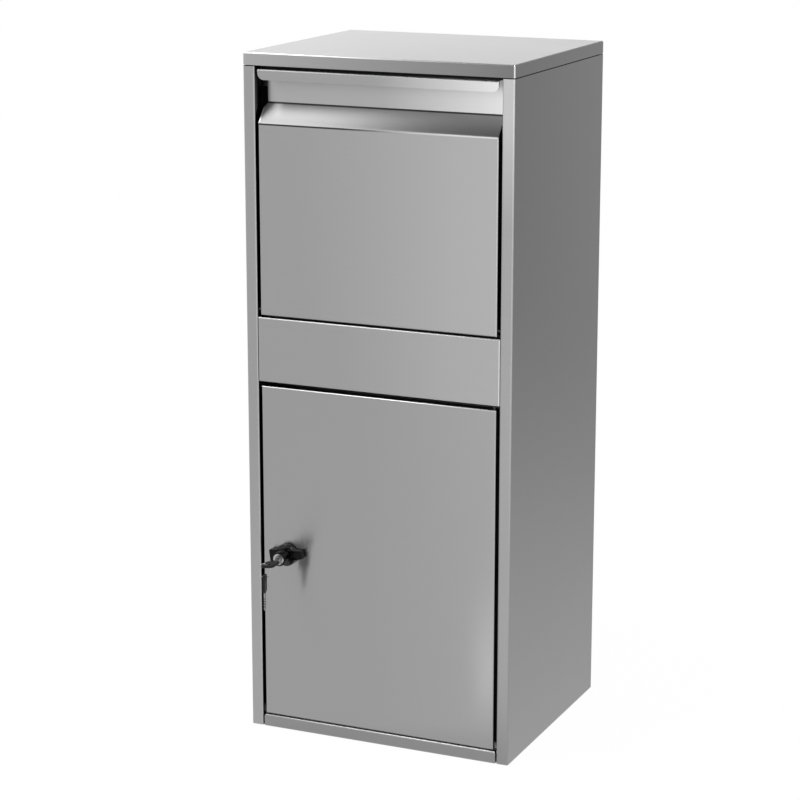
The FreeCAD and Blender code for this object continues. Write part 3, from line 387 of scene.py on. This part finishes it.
# The rail: a painted reflection brightens it to the right, a painted highlight marks the right end of its
# strip, painted shade dims the left of its top fold, and a painted shadow darkens its right end.
rail_sheet = steel("rail", (0.52, STRIP), (0.87, (X_AXIS, 0.0, 0.18)),
                   (0.98, (X_AXIS, 0.1764, 0.1770), STRIP),
                   (0.30, (Z_AXIS, rail_high.z - 0.0018, rail_high.z - 0.0010), (X_BACK, -0.12, 0.02)),
                   (0.10, (X_AXIS, rail_high.x - 0.0006, rail_high.x - 0.0004)))
# The flap: a painted reflection brightens its face to the right, the lip is painted darker near the fold
# and lighter towards the rail, the fold has a painted highlight on the right and a painted shadow line on
# the left, the lip's left end has a painted highlight, and a painted shadow line lies under the rail.
flap_sheet = steel("flap", (0.49, (X_AXIS, -0.12, 0.12)),
                   (0.25, (Z_AXIS, lip_fold - 0.0012, lip_fold + 0.0002)),
                   (0.50, (Z_AXIS, lip_fold + 0.004, lip_top)),
                   (BRIGHT, FRONT_BEND, (Z_AXIS, lip_fold - 0.0020, lip_fold - 0.0014),
                    (Z_BACK, -lip_fold - 0.0012, -lip_fold - 0.0004), (X_AXIS, -0.05, 0.12)),
                   (0.06, FRONT_BEND, (Z_AXIS, lip_fold - 0.0026, lip_fold - 0.0020),
                    (Z_BACK, -lip_fold - 0.0004, 0.0002 - lip_fold), (X_BACK, -0.05, 0.05)),
                   (0.90, (X_BACK, 0.1800, 0.1806), (Z_AXIS, lip_fold + 0.0015, lip_fold + 0.0025)),
                   (0.12, (Z_AXIS, lip_top - 0.0014, lip_top - 0.0008)))
print("lip from", round(lip_fold, 4), "to", round(lip_top, 4), "m")

# %% [markdown]
# ### Small parts
# The lock's knob is moulded in black plastic with a gloss, the key heads in a softer black.
# The lock's core and plug, the key blades and the ring are plated. Nut, cam and screw have a
# plain zinc plate, the hinge pins are dark steel, and the buffers are matt rubber. One
# roughness all over would do from afar, but close by it looks like a flat colour, so a fine
# noise moves it between two values. All these finishes use the noise, so it is a node group.

# %% Node group: uneven roughness


def make_uneven_group():
    """roughness = low + (high - low) x noise(scale x place)."""
    group = bpy.data.node_groups.new("uneven_roughness", "ShaderNodeTree")
    face = group.interface
    for name in ("Scale", "Low", "High"):
        face.new_socket(name, in_out="INPUT", socket_type="NodeSocketFloat")
    face.new_socket("Roughness", in_out="OUTPUT", socket_type="NodeSocketFloat")
    entry, leave = add_node(group, "NodeGroupInput"), add_node(group, "NodeGroupOutput")
    place = add_node(group, "ShaderNodeTexCoord")
    noise = add_node(group, "ShaderNodeTexNoise")
    noise.inputs["Detail"].default_value = 4.0
    spread = add_node(group, "ShaderNodeMapRange")
    link = group.links.new
    link(place.outputs["Object"], noise.inputs["Vector"])
    link(entry.outputs["Scale"], noise.inputs["Scale"])
    link(noise.outputs[0], spread.inputs["Value"])
    link(entry.outputs["Low"], spread.inputs["To Min"])
    link(entry.outputs["High"], spread.inputs["To Max"])
    link(spread.outputs[0], leave.inputs["Roughness"])
    return group


uneven = make_uneven_group()
print("uneven group has", len(uneven.nodes), "nodes")

# %% Small part materials


def plain_finish(name, level, metallic, scale, low, high, **sockets):
    """One level all over, with a roughness that wanders from low to high."""
    material, shader = new_material(name, Base_Color=grey(level), Metallic=metallic, **sockets)
    tree = material.node_tree
    wander = add_node(tree, "ShaderNodeGroup", node_tree=uneven)
    for socket, value in (("Scale", scale), ("Low", low), ("High", high)):
        wander.inputs[socket].default_value = value
    tree.links.new(wander.outputs["Roughness"], shader.inputs["Roughness"])
    return material


knob_black = plain_finish("lock_black", 0.002, 0.0, 180.0, 0.10, 0.16, IOR=1.25)
hub_black = plain_finish("hub_black", 0.002, 0.0, 180.0, 0.08, 0.13)
key_black = plain_finish("key_black", 0.005, 0.0, 260.0, 0.34, 0.50, Specular_IOR_Level=0.25)
bright_plate = plain_finish("bright_plate", 0.62, 1.0, 300.0, 0.12, 0.22)
plug_steel = plain_finish("plug_steel", 0.30, 1.0, 300.0, 0.20, 0.34)
ring_steel = plain_finish("ring_steel", 0.46, 1.0, 300.0, 0.12, 0.22)
pin_steel = plain_finish("pin_steel", 0.06, 1.0, 220.0, 0.32, 0.46)
zinc_plate = plain_finish("zinc_plate", 0.35, 1.0, 220.0, 0.28, 0.42)
rubber = plain_finish("black_rubber", 0.025, 0.0, 400.0, 0.65, 0.85)
print(len(bpy.data.materials), "materials so far")

# %% [markdown]
# ### Who gets which finish
# A CAD piece keeps its mesh; only the material in its slots changes. The record's own slots
# could choose it, but panels that share a slot differ here, so a table names the finish of
# each piece.

# %% Assign the finishes
finishes = {
    "left_side_panel": left_sheet, "right_side_panel": right_sheet, "middle_panel": middle_sheet,
    "flap_skin": flap_sheet, "grip_rail": rail_sheet, "door_skin": door_sheet,
    "floor_pan": outer_sheet, "back_panel": outer_sheet, "lid": lid_sheet, "front_sill": sill_sheet,
    "header_rail": painted_shade_sheet, "left_cheek": inner_sheet, "right_cheek": inner_sheet,
    "chute_tray": inner_sheet, "door_stiffener": inner_sheet,
    "left_flap_pin": pin_steel, "right_flap_pin": pin_steel, "hinge_blocks": zinc_plate,
    "upper_hinge_pin": pin_steel, "lower_hinge_pin": pin_steel, "lock_nut": zinc_plate,
    "lock_cam": zinc_plate, "cam_washer": zinc_plate, "cam_screw": zinc_plate,
    "flap_buffers": rubber, "door_buffers": rubber, "hinge_washer": rubber,
    "wing_knob": knob_black, "lock_housing": knob_black, "lock_core": bright_plate,
    "key_plug": plug_steel, "key_head": key_black, "spare_key_head": key_black,
    "key_blade": plug_steel, "spare_key_blade": plug_steel, "key_ring": plug_steel,
}
for name, piece in nodes.items():
    piece.data.materials.clear()
    piece.data.materials.append(finishes[name])
print(len(nodes), "CAD pieces have a finish")

# %% [markdown]
# ## Surfaces from formulas
# Two small pieces are made again, with more shape than the construction model gives them.
# Ready-made solids with bevels could serve, but a formula keeps every size in sight. So a
# new piece is a grid of points worked out at once: `grid_mesh` takes the points of a surface
# as an array with two running directions and joins neighbours with four-sided faces. A
# direction that closes on itself joins its last row to its first.

# %% Grid to mesh


def grid_mesh(name, points, close_u=False, close_v=False):
    """Faces join point (i, j) with its neighbours (i + 1, j), (i + 1, j + 1) and (i, j + 1)."""
    rows, columns = points.shape[:2]
    i = np.arange(rows if close_u else rows - 1)
    j = np.arange(columns if close_v else columns - 1)
    i, j = np.meshgrid(i, j, indexing="ij")
    after_i, after_j = (i + 1) % rows, (j + 1) % columns
    corners = np.stack([i * columns + j, after_i * columns + j,
                        after_i * columns + after_j, i * columns + after_j], axis=-1)
    mesh = bpy.data.meshes.new(name)
    mesh.from_pydata(points.reshape(-1, 3), [], corners.reshape(-1, 4).tolist())
    mesh.polygons.foreach_set("use_smooth", np.ones(len(mesh.polygons), dtype=bool))
    piece = bpy.data.objects.new(name, mesh)
    bpy.context.scene.collection.objects.link(piece)
    return piece


# %% Closing a surface


def close_up(piece, crease=35.0):
    """Merges the points of a pole, turns faces outwards and keeps edges past the crease angle sharp."""
    shell = bmesh.new()
    shell.from_mesh(piece.data)
    bmesh.ops.remove_doubles(shell, verts=shell.verts, dist=1e-7)
    bmesh.ops.recalc_face_normals(shell, faces=shell.faces)
    shell.to_mesh(piece.data)
    shell.free()
    piece.data.set_sharp_from_angle(angle=math.radians(crease))
    return piece


# %% [markdown]
# ### The wing knob
# The knob is moulded in one: a round base, a barrel round the cylinder, a broad and a slim
# wing. A moulding has no sharp edges, and a gloss black part shows its shape by the thin
# lights along its rounded rims, so base, barrel and wings get them here. A Bevel modifier
# could round them, but these rims differ in width, and each edge would need its own weight.
# Base and barrel are profiles turned about the lock's axis. The wings are an outline that
# steps inwards while it comes forwards, and their fronts lean back towards the tips.

# %% Knob sizes
plate_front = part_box("door_skin")[0].y
core_low, core_high = (Vector(corner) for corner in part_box("lock_core"))
lock_axis = np.array([(core_low.x + core_high.x) / 2, plate_front, (core_low.z + core_high.z) / 2])
knob_depth = plate_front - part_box("wing_knob")[0].y
BASE_RADIUS, BASE_FRONT, BARREL_RADIUS, CORE_RADIUS = 0.0164, 0.010, 0.0104, 0.0082
KNOB_BACK, WING_BACK, WING_ROOT, WING_TIP = 0.0023, 0.003, 0.0125, 0.011
WING_TILT, WING_REACH, SLIM_REACH = math.radians(8), 0.025, 0.0272
WING_CORNERS = np.array([(-WING_REACH, -0.0095), (0, -0.0095), (SLIM_REACH, -0.00615),
                         (SLIM_REACH, 0.00615), (0, 0.0095), (-WING_REACH, 0.0095)])
print("knob stands", round(knob_depth * 1000, 1), "mm off the door")

# %% Turned surface


def quarter(radius, steps=5):
    """Offsets (r (1 - cos a), r (1 - sin a)) of a rounded edge, a from 0 to 90 degrees."""
    a = np.linspace(0, np.pi / 2, steps)
    return np.stack([radius * (1 - np.cos(a)), radius * (1 - np.sin(a))], axis=1)


def rim(radius, depth, rounding, inwards=1):
    """From (radius, depth - rounding) to (radius - rounding, depth), or plus rounding if inwards is -1."""
    step = quarter(rounding)
    return np.stack([radius - inwards * step[:, 0], depth - step[:, 1]], axis=1)


def turned(profile, around=72):
    """Point = (r cos u, -d, r sin u) for each (r, d) of the profile; d counts towards the front."""
    u = np.linspace(0, 2 * np.pi, around, endpoint=False)[None, :]
    r, d = np.concatenate(profile).T[:, :, None]
    return np.stack([r * np.cos(u), -d + 0 * u, r * np.sin(u)], axis=-1)


base = turned([[(CORE_RADIUS, KNOB_BACK), (BASE_RADIUS, KNOB_BACK)],
               rim(BASE_RADIUS, BASE_FRONT, 0.0016),
               [(CORE_RADIUS, BASE_FRONT), (CORE_RADIUS, KNOB_BACK)]])
barrel = turned([[(CORE_RADIUS, KNOB_BACK), (BARREL_RADIUS, KNOB_BACK)],
                 rim(BARREL_RADIUS, knob_depth, 0.0007),
                 rim(CORE_RADIUS, knob_depth, 0.0003, -1)[::-1], [(CORE_RADIUS, KNOB_BACK)]])
print("base has", base.shape[0], "rings, barrel", barrel.shape[0])

# %% Wings


def rounded_outline(corners, radius, steps=6):
    """Each corner becomes an arc: points of the circle that touches both sides, from side to side."""
    back, ahead = np.roll(corners, 1, axis=0) - corners, np.roll(corners, -1, axis=0) - corners
    back /= np.linalg.norm(back, axis=1, keepdims=True)
    ahead /= np.linalg.norm(ahead, axis=1, keepdims=True)
    half = np.arccos(np.clip((back * ahead).sum(axis=1), -1, 1)) / 2
    middle = (back + ahead) / np.linalg.norm(back + ahead, axis=1, keepdims=True)
    centre = corners + middle * (radius / np.sin(half))[:, None]
    reach = (radius / np.tan(half))[:, None]
    share = np.linspace(0, 1, steps)[None, :, None]
    first, last = (corners + side * reach - centre for side in (back, ahead))
    spoke = first[:, None] * (1 - share) + last[:, None] * share
    spoke *= radius / np.linalg.norm(spoke, axis=2, keepdims=True)
    return (centre[:, None] + spoke).reshape(-1, 2)


def wing_plate(corners, rounding, rings=8):
    """Point (i, j) = (outline i - inset j outward) shrink j, at a depth that leans from root to tip."""
    outline = rounded_outline(corners, 0.0012)
    run = np.roll(outline, -1, axis=0) - np.roll(outline, 1, axis=0)
    outward = np.stack([run[:, 1], -run[:, 0]], axis=1) / np.linalg.norm(run, axis=1, keepdims=True)
    edge = quarter(rounding)
    inset = np.concatenate([[0.0], edge[:, 0], np.full(rings, rounding)])
    drop = np.concatenate([[0.0], edge[:, 1], np.zeros(rings)])
    shrink = np.concatenate([np.ones(len(edge) + 1), np.linspace(1, 0, rings + 1)[1:]])
    flat = (outline[:, None] - inset[None, :, None] * outward[:, None]) * shrink[None, :, None]
    out = np.clip((np.abs(flat[..., 0]) - BARREL_RADIUS) / (WING_REACH - BARREL_RADIUS), 0, 1)
    depth = WING_ROOT - (WING_ROOT - WING_TIP) * out - drop
    depth[:, 0] = WING_BACK
    x = flat[..., 0] * math.cos(WING_TILT) - flat[..., 1] * math.sin(WING_TILT)
    z = flat[..., 0] * math.sin(WING_TILT) + flat[..., 1] * math.cos(WING_TILT)
    front = np.stack([x, -depth, z], axis=-1)
    back = front[:, :1] * np.array([0.0, 1.0, 0.0])
    return np.concatenate([back, front], axis=1)


wings = wing_plate(WING_CORNERS, 0.0009)
print("wing outline has", len(wings), "points")

# %% Knob pieces
for name, surface, closed_way, finish in (("knob_base", base, "v", hub_black),
                                          ("knob_barrel", barrel, "v", knob_black),
                                          ("knob_wings", wings, "u", knob_black)):
    part = grid_mesh(name, surface + lock_axis, close_u=closed_way == "u", close_v=closed_way == "v")
    close_up(part).data.materials.append(finish)
    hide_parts("wing_knob")
    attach(part, "lock_rotor")
    print(name, "has", len(part.data.polygons), "faces")

# %% [markdown]
# ### The key ring
# The ring through the keys is a thin, bright, round wire. Facets would break up the light
# along it, so it gets a fine surface. Blender has a torus of its own, but its formula is as
# short: a small circle carried round a large one. Size and place come from the node that the
# ring replaces.

# %% Key ring


def wire_ring(centre, ring_radius, wire_radius, around=96, section=20):
    """Point = centre + (R + r cos v)(cos u, 0, sin u) + r sin v (0, 1, 0)."""
    u = np.linspace(0, 2 * np.pi, around, endpoint=False)[:, None]
    v = np.linspace(0, 2 * np.pi, section, endpoint=False)[None, :]
    out = ring_radius + wire_radius * np.cos(v)
    x = out * np.cos(u)
    y = wire_radius * np.sin(v) + 0 * u
    z = out * np.sin(u)
    return np.stack([x, y, z], axis=-1) + np.array(centre)


ring_low, ring_high = (Vector(corner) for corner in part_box("key_ring"))
ring_centre = (ring_low + ring_high) / 2
wire = (ring_high.y - ring_low.y) / 2
ring = grid_mesh("round_key_ring", wire_ring(ring_centre, (ring_high.x - ring_low.x) / 2 - wire, wire),
                 close_u=True, close_v=True)
ring.data.materials.append(ring_steel)
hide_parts("key_ring")
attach(ring, "ring")
print("ring wire", round(wire * 2000, 2), "mm thick")

# %% [markdown]
# ## Light
# Metal shows what surrounds it, so the surroundings matter more than the lamps. A picture of
# a studio all round is the usual way. Here the script makes everything itself: a white
# world, and cards in front of it. The world is white to the camera and in mirrors, and a
# little weaker as a light, so that the sheet keeps its own tone.

# %% World


def seen_directly(tree):
    """1 for a ray from the camera, in a mirror or through glass; 0 for light that falls on a surface."""
    path = add_node(tree, "ShaderNodeLightPath")
    first = add_node(tree, "ShaderNodeMath", operation="MAXIMUM")
    both = add_node(tree, "ShaderNodeMath", operation="MAXIMUM")
    tree.links.new(path.outputs["Is Camera Ray"], first.inputs[0])
    tree.links.new(path.outputs["Is Glossy Ray"], first.inputs[1])
    tree.links.new(first.outputs[0], both.inputs[0])
    tree.links.new(path.outputs["Is Transmission Ray"], both.inputs[1])
    return both.outputs[0]


FILL = 0.75
world = bpy.data.worlds.new("white_room")
bpy.context.scene.world = world
world.use_nodes = True
room = world.node_tree
backdrop = room.nodes["Background"]
strength = add_node(room, "ShaderNodeMapRange")
strength.inputs["To Min"].default_value = FILL
strength.inputs["To Max"].default_value = 1.0
backdrop.inputs["Color"].default_value = grey(1.0)
room.links.new(seen_directly(room), strength.inputs["Value"])
room.links.new(strength.outputs[0], backdrop.inputs["Strength"])
print("world lights with", FILL, "and shows as 1")

# %% [markdown]
# ### The floor
# A plain pale floor carries the box. Paint alone would come out grey, and a glow alone
# would show no shadow, so the floor has both: it glows almost white where it is looked at,
# and the rest of it is a matt paint that takes the faint shadow. From below it is clear, so
# that the underside of the box can be seen.

# %% Floor


def flat_sheet(name, centre, right, up):
    """Four points: centre plus and minus the half-vectors right and up."""
    centre, right, up = (np.array(v, dtype=float) for v in (centre, right, up))
    across = np.array([-1.0, 1.0])[None, :, None] * right
    upward = np.array([-1.0, 1.0])[:, None, None] * up
    return grid_mesh(name, centre + across + upward)


FLOOR_HALF, FLOOR_DROP, FLOOR_GLOW, GLOW_SHARE = 40.0, 0.0005, 1.012, 0.96
floor = flat_sheet("floor", (0, 0, cad_low.z - FLOOR_DROP), (0, FLOOR_HALF, 0), (FLOOR_HALF, 0, 0))
floor_paint, floor_shader = new_material("pale_floor", Base_Color=grey(0.9), Roughness=0.9,
                                         Specular_IOR_Level=0.0)
paint = floor_paint.node_tree
glow = add_node(paint, "ShaderNodeEmission")
glow.inputs["Strength"].default_value = FLOOR_GLOW
share = add_node(paint, "ShaderNodeMath", operation="MULTIPLY")
share.inputs[1].default_value = GLOW_SHARE
blend = add_node(paint, "ShaderNodeMixShader")
paint.links.new(seen_directly(paint), share.inputs[0])
paint.links.new(share.outputs[0], blend.inputs[0])
paint.links.new(floor_shader.outputs[0], blend.inputs[1])
paint.links.new(glow.outputs[0], blend.inputs[2])
side = add_node(paint, "ShaderNodeNewGeometry")
from_below = add_node(paint, "ShaderNodeMixShader")
clear = add_node(paint, "ShaderNodeBsdfTransparent")
paint.links.new(side.outputs["Backfacing"], from_below.inputs[0])
paint.links.new(blend.outputs[0], from_below.inputs[1])
paint.links.new(clear.outputs[0], from_below.inputs[2])
paint.links.new(from_below.outputs[0], paint.nodes["Material Output"].inputs["Surface"])
floor.data.materials.append(floor_paint)
print("floor lies at", round(cad_low.z - FLOOR_DROP, 4), "m")

# %% [markdown]
# ### The cards
# Large grey cards stand where a studio has its darker walls and ceiling, and a few bright
# ones where it has its lamps. Lamps would light the floor and cast shadows too, so these are
# sheets that glow and that only reflections see. They give the steel its gradients: a front
# seen from the right mirrors the floor and wall to its left, in the direction FRONT_SIGHT,
# a side mirrors those behind it, in the direction SIDE_SIGHT, and the lip mirrors the
# ceiling. FRONT_ACROSS and SIDE_ACROSS are level too, and square to them.

# %% A card


def card(name, centre, right, up, level, far_level=None, span=(-1.0, 1.0)):
    """A card that only reflections see; its level runs along right, over the given span of the card."""
    board = flat_sheet(name, centre, right, up)
    board_paint = bpy.data.materials.new(name)
    board_paint.use_nodes = True
    tree = board_paint.node_tree
    tree.nodes.clear()
    light = add_node(tree, "ShaderNodeEmission")
    light.inputs["Strength"].default_value = level
    end = add_node(tree, "ShaderNodeOutputMaterial")
    if far_level is not None:
        place = add_node(tree, "ShaderNodeTexCoord")
        offset = add_node(tree, "ShaderNodeVectorMath", operation="SUBTRACT")
        offset.inputs[1].default_value = centre
        along = add_node(tree, "ShaderNodeVectorMath", operation="DOT_PRODUCT")
        along.inputs[1].default_value = Vector(right) / Vector(right).length_squared
        ramp = add_node(tree, "ShaderNodeMapRange")
        ramp.inputs["From Min"].default_value, ramp.inputs["From Max"].default_value = span
        ramp.inputs["To Min"].default_value = level
        ramp.inputs["To Max"].default_value = far_level
        tree.links.new(place.outputs["Object"], offset.inputs[0])
        tree.links.new(offset.outputs[0], along.inputs[0])
        tree.links.new(along.outputs["Value"], ramp.inputs["Value"])
        tree.links.new(ramp.outputs[0], light.inputs["Strength"])
    tree.links.new(light.outputs[0], end.inputs["Surface"])
    board.data.materials.append(board_paint)
    board.visible_camera = False
    board.visible_diffuse = False
    board.visible_shadow = False
    return board


# %% Floor and wall cards
FRONT_SIGHT, SIDE_SIGHT = Vector((-0.415, -0.910, 0)), Vector((0.349, 0.937, 0))
FRONT_ACROSS, SIDE_ACROSS = Vector((0.910, -0.415, 0)), Vector((0.937, -0.349, 0))
CARD_LIFT, PATCH_LIFT = Vector((0, 0, 0.001)), Vector((0, 0, 0.002))
front_foot, side_foot = Vector((0, cad_low.y, 0)), Vector((cad_high.x, 0, 0))
card("front_floor", front_foot + FRONT_SIGHT * 1.5 + CARD_LIFT, FRONT_ACROSS * 1.6, FRONT_SIGHT * 1.5,
     0.76, 0.90, (-0.03, 0.22))
card("floor_patch", front_foot + FRONT_SIGHT * 0.30 + FRONT_ACROSS * 0.225 + PATCH_LIFT,
     FRONT_ACROSS * 0.10, FRONT_SIGHT * 0.20, 1.18)
card("front_wall", front_foot + FRONT_SIGHT * 3.0 + Vector((0, 0, 0.9)), FRONT_ACROSS * 2.0, (0, 0, 0.9),
     0.71, 1.02, (-0.03, 0.18))
card("side_floor", side_foot + SIDE_SIGHT * 1.1 + CARD_LIFT, SIDE_SIGHT * 1.4, SIDE_ACROSS * 1.6,
     0.71, 0.39)
card("side_wall", side_foot + SIDE_SIGHT * 2.5 + Vector((0, 0, 1.5)), SIDE_ACROSS * 2.0, (0, 0, 1.5),
     0.48, 0.27, (-0.15, 0.15))
print("the front mirrors", round(math.degrees(FRONT_SIGHT.angle(Vector(Y_BACK))), 1), "degrees to the left")

# %% Ceiling and softboxes
CEILING = 2.6
card("ceiling", (-0.5, -1.2, CEILING), (2.6, 0, 0), (0, 2.0, 0), 1.45, 0.20, (-0.20, -0.10))
card("ceiling_softbox", (-1.26, -0.7, CEILING - 0.01), (0.42, 0, 0), (0, 0.65, 0), 4.4)
card("right_softbox", (1.2, -3.6, 1.2), (2.0, 0.9, 0), (0, 0, 1.2), 1.3)
card("back_softbox", (-1.2, 2.8, 1.9), (1.6, 0.4, 0), (0, 0, 0.8), 1.5)
card("high_softbox", (1.35, -1.5, CEILING - 0.05), (0.45, 0, 0), (0, 0.45, 0), 14.0)

# %% [markdown]
# ### The lamp
# The box throws a faint shadow. A small lamp would draw it hard, and the white world alone
# hardly at all, so one soft lamp hangs above and in front. Mirrors don't show it, because
# the cards stand for the lamps there.

# %% Lamp


def soft_lamp(name, place, aim, size, watts):
    """A square lamp of the given size in metres, turned towards a point."""
    data = bpy.data.lights.new(name, "AREA")
    data.shape = "SQUARE"
    data.size = size
    data.energy = watts
    lamp = bpy.data.objects.new(name, data)
    bpy.context.scene.collection.objects.link(lamp)
    lamp.location = place
    lamp.rotation_mode = "QUATERNION"
    lamp.rotation_quaternion = (Vector(aim) - Vector(place)).to_track_quat("-Z", "Y")
    lamp.visible_camera = False
    lamp.visible_glossy = False
    return lamp


middle = (cad_low + cad_high) / 2
soft_lamp("top_lamp", (-0.8, -1.2, CEILING), middle, 1.6, 18)
print("lamp aims at", [round(v, 3) for v in middle])

# %% [markdown]
# ## Camera
# The box is seen from a little above and to the right, so that the front, the right side and
# a sliver of the lid show. A short lens close by would make the level lines slope too much,
# and a view without perspective would keep them parallel, so a long lens stands well back.

# %% Camera
AZIMUTH, ELEVATION = math.radians(24.08), math.radians(13.92)
DISTANCE, LENS = 3.519, 112.5
aim = Vector((0.0365, -0.175, 0.5222))
camera_data = bpy.data.cameras.new("camera")
camera_data.lens = LENS
camera = bpy.data.objects.new("camera", camera_data)
bpy.context.scene.collection.objects.link(camera)
back = Vector((math.sin(AZIMUTH) * math.cos(ELEVATION), -math.cos(AZIMUTH) * math.cos(ELEVATION),
               math.sin(ELEVATION)))
camera.location = aim + back * DISTANCE
camera.rotation_mode = "QUATERNION"
camera.rotation_quaternion = (-back).to_track_quat("-Z", "Y")
bpy.context.scene.camera = camera
bpy.context.scene.view_settings.view_transform = "Standard"
print("camera stands at", [round(v, 3) for v in camera.location])
